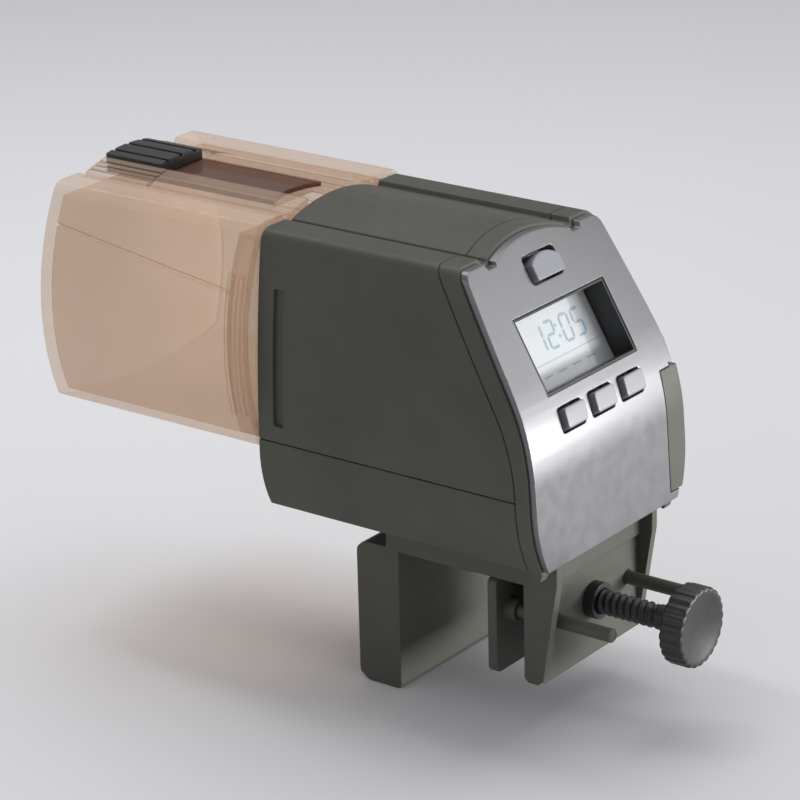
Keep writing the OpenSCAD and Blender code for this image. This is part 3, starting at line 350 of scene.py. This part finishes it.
MATERIALS = {
    "housing_plastic": moulded("housing_plastic", (0.082, 0.081, 0.070), 0.44, 0.3, edge_wear_and_highlight=0.25, specular=0.22),
    "face_silver": painted_silver(),
    "black_plastic": moulded("black_plastic", (0.016, 0.016, 0.017), 0.42, 0.2, edge_wear_and_highlight=0.12),
    "clear_window": clear_window(),
    "lcd_grey": display_grey(),
    "rubber_strip": moulded("rubber_strip", (0.40, 0.16, 0.20), 0.7, 0.5, 1400),
    "button_white": moulded("button_white", (0.185, 0.185, 0.21), 0.34, 0.12, 3200, clouds=0.03),
    "circuit_green": circuit_green(),
    "steel": metal("steel", (0.56, 0.57, 0.59), 0.3, (0.2, 1, 1)),
    "spring_steel": metal("spring_steel", (0.66, 0.67, 0.69), 0.22),
    "motor_steel": metal("motor_steel", (0.48, 0.49, 0.51), 0.38, (0.1, 1, 1), 0.2),
    "cell_wrap": cell_wrap(),
    "brass": metal("brass", (0.66, 0.47, 0.20), 0.26, (3, 0.6, 0.6)),
    "gear_plastic": moulded("gear_plastic", (0.76, 0.74, 0.64), 0.42, 0.1, 2200, edge_wear_and_highlight=0.05, clouds=0.05),
    "amber_clear": smoked("amber_clear", (0.95, 0.89, 0.83, 1), (0.78, 0.61, 0.49, 1), 0.09, 0.5, 0.5),
    "amber_dark": smoked("amber_dark", (0.64, 0.47, 0.40, 1), (0.18, 0.10, 0.08, 1), 0.3, 0.75),
    "wire_red": moulded("wire_red", (0.34, 0.02, 0.02), 0.35, 0.08, 1800, edge_wear_and_highlight=0.0),
}


# ---------- Finished pieces ----------


def place(piece, node):
    """Gives a finished piece its CAD node's body and the material of its slot."""
    slot = RECORD_SLOTS[node]
    piece.data.materials.clear()
    piece.data.materials.append(MATERIALS[slot])
    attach(piece, BODY_OF[node])
    return piece


def mesh_of(bm, name):
    mesh = bpy.data.meshes.new(name)
    bm.to_mesh(mesh)
    bm.free()
    return mesh


def new_piece(name, mesh):
    piece = bpy.data.objects.new(name, mesh)
    bpy.context.scene.collection.objects.link(piece)
    return piece


def sharp_edges(bm, degrees):
    limit = math.radians(degrees)
    return [e for e in bm.edges if len(e.link_faces) == 2 and e.calc_face_angle(0) > limit]


def round_edges(bm, edges, width, segments):
    bmesh.ops.bevel(bm, geom=edges, offset=width, offset_type="OFFSET", segments=segments, profile=0.5,
                    affect="EDGES", clamp_overlap=False, miter_outer="ARC")


def smooth(piece, degrees):
    """Smooth shading that breaks at sharp edges, weighted so that flats stay flat."""
    limit = math.radians(degrees)
    bm = bmesh.new()
    bm.from_mesh(piece.data)
    for face in bm.faces:
        face.smooth = True
    for edge in bm.edges:
        edge.smooth = len(edge.link_faces) == 2 and edge.calc_face_angle(0) < limit
    bm.to_mesh(piece.data)
    bm.free()
    weighted = piece.modifiers.new("flat faces keep their normals", "WEIGHTED_NORMAL")
    weighted.keep_sharp = True
    weighted.weight = 80
    return piece


def strays(bm, surface, width):
    """Corners of the triangles that left the surface they should lie on, or lean away from it."""
    test = bm.copy()
    bmesh.ops.triangulate(test, faces=test.faces, ngon_method="EAR_CLIP")
    found = []
    for face in test.faces:
        longest = max(e.calc_length() for e in face.edges)
        height = 2 * face.calc_area() / max(longest, 0.001 * MM)
        _, normal, _, distance = surface.find_nearest(face.calc_center_median())
        lean = face.normal.dot(normal)
        leaning = height > 1.5 * width and (distance > 0.25 * width or lean < 0.98)
        turned_over = height > 0.1 * width and distance < 0.1 * width and lean < 0
        if distance > 0.9 * width or leaning or turned_over:
            found += [v.co.copy() for v in face.verts]
    test.free()
    return found


def close_to(point, span, reach):
    """Whether a point lies within reach of the straight stretch between two others."""
    start, end = span
    share = min(1.0, max(0.0, intersect_point_line(point, start, end)[1]))
    return (start + (end - start) * share - point).length < reach


def rounded_copy(base, degrees, width):
    """A copy with its sharp edges rounded, leaving out those too cramped to round cleanly."""
    tries = 7
    flat = base.copy()
    bmesh.ops.triangulate(flat, faces=flat.faces)
    surface = BVHTree.FromBMesh(flat)
    flat.free()
    left_out = set()
    best = None
    for attempt in range(tries):
        bm = base.copy()
        bm.edges.index_update()
        edges = [e for e in sharp_edges(bm, degrees) if e.index not in left_out]
        spans = {e.index: (e.verts[0].co.copy(), e.verts[1].co.copy()) for e in edges}
        round_edges(bm, edges, width, 2)
        corners = strays(bm, surface, width)
        reach = (1.5 + attempt) * width
        cramped = {k for k, span in spans.items() if any(close_to(c, span, reach) for c in corners)}
        if best is None or len(corners) < best[0]:
            best = (len(corners), bm)
        if not cramped:
            break
        left_out |= cramped
    return best[1]


def finished(node, width, wide=None, wide_width=0.0):
    """A CAD node's shape with its seams welded and every sharp edge rounded, standing for the node.
    wide picks edges that get a larger round first."""
    degrees = 30
    base = bmesh.new()
    base.from_mesh(frame["nodes"][node].data)
    bmesh.ops.remove_doubles(base, verts=base.verts, dist=0.002 * MM)
    bmesh.ops.dissolve_limit(base, angle_limit=math.radians(0.05), verts=base.verts, edges=base.edges)
    if wide:
        round_edges(base, [e for e in sharp_edges(base, degrees) if wide(e)], wide_width, 4)
    bm = rounded_copy(base, degrees, width)
    base.free()
    name = node + "_finished"
    piece = new_piece(name, mesh_of(bm, name))
    place(piece, node)
    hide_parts(node)
    return smooth(piece, 38)


def top_outline(node):
    """Picks the rim of a button's cap: edges near its front."""
    front = max(v.co.dot(FACE_OUT) for v in frame["nodes"][node].data.vertices)
    return lambda e: all(v.co.dot(FACE_OUT) > front - 2.4 * MM for v in e.verts)


def cad_pieces():
    """Every node that keeps its CAD outline, with the radius in mm that suits its moulding."""
    radii = {
        "upper_housing": 0.28, "base_housing": 0.28, "front_bezel": 0.28, "face_plate": 0.22,
        "lcd_frame": 0.12, "lcd_lens": 0.08, "lcd_panel": 0.08, "lcd_connectors": 0.1, "tact_switches": 0.1,
        "control_board": 0.06, "board_components": 0.1, "board_screws": 0.06, "battery_tray": 0.15,
        "battery_contacts": 0.05, "battery_door": 0.22, "motor": 0.2, "motor_shaft": 0.1,
        "motor_pinion": 0.03, "first_gear": 0.05, "second_gear": 0.05, "drum_gear": 0.06,
        "gear_axles": 0.08, "gear_plate": 0.15, "gear_plate_screws": 0.06, "drive_shaft": 0.15,
        "shaft_bushing": 0.12, "drive_hub": 0.25, "hub_screw": 0.08, "home_cam": 0.15, "home_switch": 0.12,
        "drum_shell": 0.25, "drum_collar": 0.2, "shutter": 0.15, "shutter_tab": 0.3, "clamp_bracket": 0.4,
        "bracket_screws": 0.08, "threaded_bush": 0.3, "clamp_plate": 0.35, "guide_pins": 0.1,
        "housing_screws": 0.08,
    }
    for node, radius in radii.items():
        finished(node, radius * MM)
    for node in ("top_button", "left_button", "middle_button", "right_button"):
        finished(node, 0.08 * MM, wide=top_outline(node), wide_width=0.4 * MM)


# ---------- Thumbscrew ----------


def turned(bm, profile, axis, count, radius_at=None):
    """A closed solid turned about X from (x, radius) pairs.
    radius_at(radius, angle) may shape it round the turn."""
    rings = []
    for x, r in profile:
        if r == 0:
            rings.append([bm.verts.new((x, axis.y, axis.z))])
            continue
        ring = []
        for k in range(count):
            a = 2 * math.pi * k / count
            reach = radius_at(r, a) if radius_at else r
            ring.append(bm.verts.new((x, axis.y + reach * math.cos(a), axis.z + reach * math.sin(a))))
        rings.append(ring)
    for one, two in zip(rings, rings[1:]):
        for k in range(count):
            n = (k + 1) % count
            if len(one) == 1:
                bm.faces.new((one[0], two[n], two[k]))
            elif len(two) == 1:
                bm.faces.new((one[k], one[n], two[0]))
            else:
                bm.faces.new((one[k], one[n], two[n], two[k]))


def thread(bm, axis, x0, x1, outer, depth, pitch, steps):
    """A right-hand thread: a grid sheared along the helix, so each row follows the crest."""
    flank = ((0.04, 0), (0.14, 0.12), (0.36, 0.88), (0.43, 1))
    crest = flank + tuple((1 - along, height) for along, height in reversed(flank))
    rows = len(crest)
    turns = int(round((x1 - x0) / pitch)) + 1
    grid = {}
    for j in range(steps):
        lead = pitch * j / steps
        a = 2 * math.pi * j / steps
        for i in range((turns + 1) * rows):
            turn, k = divmod(i, rows)
            x = x0 - pitch + (turn + crest[k][0]) * pitch + lead
            inside = min(max(x, x0), x1)
            run_out = min(1.0, max(0.0, min(x - x0, x1 - x) / (0.6 * pitch)))
            r = outer - depth + depth * crest[k][1] * run_out
            grid[i, j] = bm.verts.new((inside, axis.y + r * math.cos(a), axis.z + r * math.sin(a)))
    last = (turns + 1) * rows
    for j in range(steps):
        n = (j + 1) % steps
        shift = rows if n == 0 else 0
        for i in range(last - 1):
            if i + 1 + shift < last + shift and (i + 1 - shift, n) in grid and (i - shift, n) in grid:
                bm.faces.new((grid[i, j], grid[i - shift, n], grid[i + 1 - shift, n], grid[i + 1, j]))


def knob_radius(rim, notches, depth):
    """Rounded flutes round the knob's edge, fading towards its faces."""
    def reach(r, a):
        if r < rim - 0.9 * MM:
            return r
        wave = 0.5 + 0.5 * math.cos(notches * a)
        return r - depth * (1 - wave) ** 2
    return reach


def thumbscrew():
    """A fluted knob with a dished face, a plain neck, a thread and a tip pad on a narrow neck."""
    low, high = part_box("thumbscrew")
    axis = (low + high) / 2
    rim = (high.y - low.y) / 2
    notches = 24
    knob_t = 6.5 * MM
    back = high.x - knob_t
    outer = 3.25 * MM
    depth = 0.7 * MM
    pitch = 2 * MM
    shank = low.x + 3 * MM
    thread_end = shank + 30 * MM
    tip_r = 2.6 * MM
    tip_neck_r = 1.93 * MM
    edge = 0.8 * MM
    dish = 1.3 * MM
    dish_r = rim - 1.4 * MM
    bm = bmesh.new()
    profile = [(back, 0), (back, rim * 0.5), (back, rim - edge * 1.2)]
    profile += [(back + edge - edge * math.cos(t), rim - edge + edge * math.sin(t))
                for t in (math.radians(q) for q in (15, 40, 65, 90))]
    profile += [(back + knob_t * 0.5, rim)]
    profile += [(high.x - edge + edge * math.sin(t), rim - edge + edge * math.cos(t))
                for t in (math.radians(q) for q in (0, 25, 50, 75, 90))]
    profile += [(high.x - dish * (1 - (q * q)), dish_r * q) for q in (0.98, 0.9, 0.75, 0.5, 0.25)]
    profile += [(high.x - dish, 0)]
    turned(bm, profile, axis, notches * 8, knob_radius(rim, notches, 0.42 * MM))
    neck = [(thread_end - 0.4 * MM, 0), (thread_end - 0.4 * MM, outer - depth),
            (thread_end + 0.2 * MM, outer - 0.1 * MM), (thread_end + 0.5 * MM, outer),
            (back + 0.2 * MM, outer), (back + 0.2 * MM, 0)]
    turned(bm, neck, axis, 64)
    fillet = [(back - 0.9 * MM, 0), (back - 0.9 * MM, outer), (back - 0.5 * MM, outer + 0.15 * MM),
              (back - 0.2 * MM, outer + 0.5 * MM), (back + 0.1 * MM, outer + 1.1 * MM), (back + 0.1 * MM, 0)]
    turned(bm, fillet, axis, 64)
    core = [(shank, 0), (shank, outer - depth), (thread_end, outer - depth), (thread_end, 0)]
    turned(bm, core, axis, 64)
    thread(bm, axis, shank, thread_end, outer, depth, pitch, 48)
    swivel = [(low.x, 0), (low.x, tip_r - 0.2 * MM), (low.x + 0.2 * MM, tip_r), (low.x + 1.0 * MM, tip_r),
              (low.x + 1.2 * MM, tip_r - 0.2 * MM), (low.x + 1.25 * MM, tip_neck_r),
              (shank + 0.2 * MM, tip_neck_r), (shank + 0.2 * MM, 0)]
    turned(bm, swivel, axis, 48)
    bmesh.ops.remove_doubles(bm, verts=bm.verts, dist=0.002 * MM)
    bmesh.ops.recalc_face_normals(bm, faces=bm.faces)
    piece = place(new_piece("thumbscrew_turned", mesh_of(bm, "thumbscrew_turned")), "thumbscrew")
    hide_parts("thumbscrew")
    return smooth(piece, 45)


# ---------- Springs, cells and wires ----------


def tube(name, points, radius, node):
    """A round wire with closed ends that follows the points, as a mesh."""
    curve = bpy.data.curves.new(name, "CURVE")
    curve.dimensions = "3D"
    curve.bevel_depth = radius
    curve.bevel_resolution = 6
    curve.use_fill_caps = True
    line = curve.splines.new("NURBS")
    line.points.add(len(points) - 1)
    for p, co in zip(line.points, points):
        p.co = (co[0], co[1], co[2], 1)
    line.use_endpoint_u = True
    line.order_u = 4
    line.resolution_u = 3
    temp = bpy.data.objects.new(name + "_path", curve)
    bpy.context.scene.collection.objects.link(temp)
    bpy.context.view_layer.update()
    mesh = bpy.data.meshes.new_from_object(temp.evaluated_get(bpy.context.evaluated_depsgraph_get()))
    bpy.data.objects.remove(temp)
    bm = bmesh.new()
    bm.from_mesh(mesh)
    bmesh.ops.remove_doubles(bm, verts=bm.verts, dist=0.001 * MM)
    bmesh.ops.recalc_face_normals(bm, faces=bm.faces)
    bm.to_mesh(mesh)
    bm.free()
    return smooth(place(new_piece(name, mesh), node), 60)


CELL_R = 7.25 * MM


def battery_springs():
    """A conical coil on the flat end of each cell."""
    low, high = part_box("battery_springs")
    wire = 0.35 * MM
    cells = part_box("battery_cells")
    upper_z = cells[1].z - CELL_R
    lower_z = cells[0].z + CELL_R
    y = (cells[0].y + cells[1].y) / 2
    for name, x0, way, z in (("spring_rear", low.x, 1, lower_z), ("spring_front", high.x, -1, upper_z)):
        length = 2.45 * MM
        wide_r = 4.2
        narrow_r = 3.3
        per_turn = 16
        steps = int(2.75 * per_turn)
        points = []
        for k in range(steps + 1):
            share = k / steps
            a = 2 * math.pi * k / per_turn
            r = (wide_r - (wide_r - narrow_r) * share) * MM
            x = x0 + way * (wire + (length - 2 * wire) * share)
            points.append((x, y + r * math.cos(a), z + r * math.sin(a)))
        tube(name, points, wire, "battery_springs")
    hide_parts("battery_springs")


def battery_cells():
    """Two wrapped cells with a rolled sleeve edge, an insulating washer and a raised contact."""
    low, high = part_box("battery_cells")
    y = (low.y + high.y) / 2
    flat_gap = 0.6 * MM
    flat_end = [(0, 0), (0, 5.2), (0.25, 5.6), (0.05, 6.3), (0.1, 6.8), (0.5, 7.2), (1.0, 7.25)]
    rolled_end = [(48.2, 7.25), (48.7, 7.2), (49.1, 6.8), (49.15, 6.3), (48.9, 5.9), (48.9, 3.2)]
    contact = [(49.1, 2.8), (50.2, 2.65), (50.4, 2.4), (50.4, 0)]
    outline = [(x * MM, r * MM) for x, r in flat_end + rolled_end + contact]
    lower = ("cell_lower", low.x + flat_gap, low.z + CELL_R, 1)
    upper = ("cell_upper", high.x - flat_gap, high.z - CELL_R, -1)
    for name, x0, z, way in (lower, upper):
        bm = bmesh.new()
        turned(bm, [(x0 + way * x, r) for x, r in outline], Vector((0, y, z)), 64)
        bmesh.ops.recalc_face_normals(bm, faces=bm.faces)
        piece = smooth(place(new_piece(name, mesh_of(bm, name)), "battery_cells"), 50)
        if way > 0:
            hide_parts("battery_cells")


def wires():
    """Four insulated leads with soft bends, along the routes of the CAD wires."""
    radius = 0.6 * MM
    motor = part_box("motor")
    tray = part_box("battery_tray")
    axis_y = (motor[0].y + motor[1].y) / 2
    axis_z = (motor[0].z + motor[1].z) / 2
    for side, hand in ((-1, "left"), (1, "right")):
        start = Vector((motor[1].x - 0.4 * MM, axis_y + side * 5 * MM, axis_z))
        route = [start, at(48, side * 5 - 5.5, 15), at(50.5, side * 5 - 8.5, 21), at(53, side * 4.5 - 10, 30),
                 at(55, side * 4 - 12, 40), at(55.7, side * 2.5 - 12, 46), at(56, side * 2 - 12, 50)]
        tube("motor_lead_" + hand, route, radius, "wires")
        tray_x = tray[1].x + 1 * MM
        lead_z = 20 + side * 1.2
        route = [Vector((tray_x, 13 * MM, HOUSING.z + lead_z * MM)), at(69, 11 + side, lead_z),
                 at(69, 9 + side, 22 + side), at(66.5, 7.4 + side, 28), at(64, 6 + side, 34),
                 at(61.5, 2 + side, 41)]
        tube("battery_lead_" + hand, route, radius, "wires")
    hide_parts("wires")


# ---------- Display ----------


def on_display(u, v, lift):
    """A point on the display's glass: u across and v up from its middle, in mm."""
    low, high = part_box("lcd_panel")
    middle = (low + high) / 2
    front = max(v_.co.dot(FACE_OUT) for v_ in frame["nodes"]["lcd_panel"].data.vertices)
    base = middle + FACE_OUT * (front - middle.dot(FACE_OUT))
    return base + Vector((0, 1, 0)) * u * MM + FACE_UP * v * MM + FACE_OUT * lift * MM


def plates(name, outlines):
    """Thin raised plates on the display, from outlines in its own plane."""
    thickness = 0.05
    bm = bmesh.new()
    for outline in outlines:
        back = [bm.verts.new(on_display(u, v, 0.0)) for u, v in outline]
        front = [bm.verts.new(on_display(u, v, thickness)) for u, v in outline]
        bm.faces.new(front)
        bm.faces.new(list(reversed(back)))
        for k in range(len(outline)):
            n = (k + 1) % len(outline)
            bm.faces.new((back[k], back[n], front[n], front[k]))
    bmesh.ops.recalc_face_normals(bm, faces=bm.faces)
    piece = new_piece(name, mesh_of(bm, name))
    piece.data.materials.append(INK)
    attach(piece, "feeder_body")
    return piece


def ink():
    """Faint blue-grey display segments, with a faint painted glow."""
    p = Paint("display_ink")
    base = p.mix(p.remap(p.noise(400, 2), 0.3, 0.7, 0, 1), (0.22, 0.29, 0.36, 1), (0.25, 0.32, 0.39, 1))
    # The emission is a painted glow on the segments.
    return p.done(p.surface(Base_Color=base, Roughness=0.4, Emission_Color=base, Emission_Strength=0.1))


INK = ink()
SEGMENTS = {"0": "abcdef", "1": "bc", "2": "abged", "3": "abgcd", "4": "fgbc", "5": "afgcd", "6": "afgedc",
            "7": "abc", "8": "abcdefg", "9": "abcdfg"}


def segment(u, v, w, h, t, which):
    """One of a digit's seven bars, with pointed ends."""
    slant = 0.08
    half = t / 2
    gap = 0.12
    across = {"a": h, "g": h / 2, "d": 0.0}
    upright = {"f": (0, h / 2), "b": (w, h / 2), "e": (0, 0), "c": (w, 0)}
    if which in across:
        y = across[which]
        shape = [(gap + half, y - half), (w - gap - half, y - half), (w - gap, y), (w - gap - half, y + half),
                 (gap + half, y + half), (gap, y)]
    else:
        x, y = upright[which]
        top = y + h / 2
        shape = [(x - half, y + gap + half), (x, y + gap), (x + half, y + gap + half),
                 (x + half, top - gap - half), (x, top - gap), (x - half, top - gap - half)]
    return [(u + a + slant * b, v + b) for a, b in shape]


def square(u, v, w, h):
    return [(u, v), (u + w, v), (u + w, v + h), (u, v + h)]


def display():
    """A generic clock reading, with a rule and small marks under it."""
    digit_w, digit_h, stroke = 3.3, 6.8, 0.8
    base_v = -0.6
    bars = []
    for u, figure in zip((-6.2, -1.0, 5.6, 10.8), "1205"):
        bars += [segment(u, base_v, digit_w, digit_h, stroke, s) for s in SEGMENTS[figure]]
    bars += [square(3.4, base_v + d, 0.8, 0.8) for d in (1.7, 4.6)]
    plates("display_digits", bars)
    marks = [square(-17.6, -3.2, 35.2, 0.22)]
    marks += [square(-15 + 6.2 * k, -6.6, 3.4, 0.5) for k in range(5)]
    plates("display_marks", marks)


# ---------- Stage, light and camera ----------


def floor():
    p = Paint("floor")
    base = p.mix(p.remap(p.noise(3, 3), 0.3, 0.7, 0, 1), (0.84, 0.84, 0.86, 1), (0.86, 0.86, 0.88, 1))
    grain = p.bump(p.noise(900, 2), 0.05, 0.05 * MM)
    material = p.done(p.surface(Base_Color=base, Roughness=0.7, Normal=grain))
    bm = bmesh.new()
    bmesh.ops.create_grid(bm, x_segments=8, y_segments=8, size=6)
    piece = new_piece("floor", mesh_of(bm, "floor"))
    piece.location.z = cad_low.z
    piece.data.materials.append(material)


def feeder_pieces():
    """A collection of every piece but the floor, for lamps that must not light the floor."""
    group = bpy.data.collections.new("feeder_pieces")
    for piece in bpy.context.scene.objects:
        if piece.type == "MESH" and piece.name != "floor":
            group.objects.link(piece)
    return group


def soft_light(name, toward, distance, size, power, aim=None, receivers=None):
    """A softbox that faces the object's middle or the point aim.
    It lights everything, or only the pieces in the receivers collection."""
    data = bpy.data.lights.new(name, "AREA")
    data.shape = "RECTANGLE"
    data.size, data.size_y = size
    data.energy = power
    lamp = bpy.data.objects.new(name, data)
    lamp.visible_camera = False
    if receivers:
        lamp.light_linking.receiver_collection = receivers
    direction = Vector(toward).normalized()
    lamp.location = (aim or (cad_low + cad_high) / 2) + direction * distance
    lamp.rotation_mode = "QUATERNION"
    lamp.rotation_quaternion = (-direction).to_track_quat("-Z", "Y")
    bpy.context.scene.collection.objects.link(lamp)


def lights():
    world = bpy.data.worlds.new("studio")
    world.use_nodes = True
    world.node_tree.nodes["Background"].inputs["Color"].default_value = (0.93, 0.94, 0.97, 1)
    world.node_tree.nodes["Background"].inputs["Strength"].default_value = 0.4
    bpy.context.scene.world = world
    feeder_only = feeder_pieces()
    soft_light("overhead", (-0.1, 0.35, 1), 0.9, (0.9, 0.6), 3.6)
    soft_light("front_right", (1, -0.1, 0.45), 0.8, (0.5, 0.5), 0.3)
    soft_light("face_glow", (0.61, 0.77, 0.19), 0.20, (0.10, 0.16), 0.11, at(82, -28, 42), feeder_only)
    soft_light("low_front", (1, 0.45, 0.02), 0.6, (0.35, 0.1), 4.2, receivers=feeder_only)
    soft_light("shoulder_line", (-0.56, 0.07, 0.83), 0.7, (0.05, 0.6), 0.8)
    soft_light("left_fill", (-0.4, -1, 0.25), 1.2, (0.8, 0.6), 1.2)


def camera():
    data = bpy.data.cameras.new("camera")
    data.sensor_width = 36
    lens = bpy.data.objects.new("camera", data)
    back = Vector((math.sin(VIEW_AZIMUTH) * math.cos(VIEW_ELEVATION),
                   -math.cos(VIEW_AZIMUTH) * math.cos(VIEW_ELEVATION), math.sin(VIEW_ELEVATION)))
    lens.location = VIEW_TARGET + back * VIEW_DISTANCE
    middle = HOUSING + Vector((20, 0, 23)) * MM
    look = (middle - lens.location).normalized()
    turn = look.to_track_quat("-Z", "Y")
    lens.rotation_mode = "QUATERNION"
    lens.rotation_quaternion = turn @ Matrix.Rotation(VIEW_ROLL, 3, "Z").to_quaternion()
    data.lens = 150
    data.clip_start = 0.01
    data.clip_end = 50
    bpy.context.scene.collection.objects.link(lens)
    bpy.context.scene.camera = lens


cad_pieces()
thumbscrew()
battery_springs()
battery_cells()
wires()
display()
floor()
lights()
camera()
bpy.context.scene.view_settings.view_transform = "Standard"
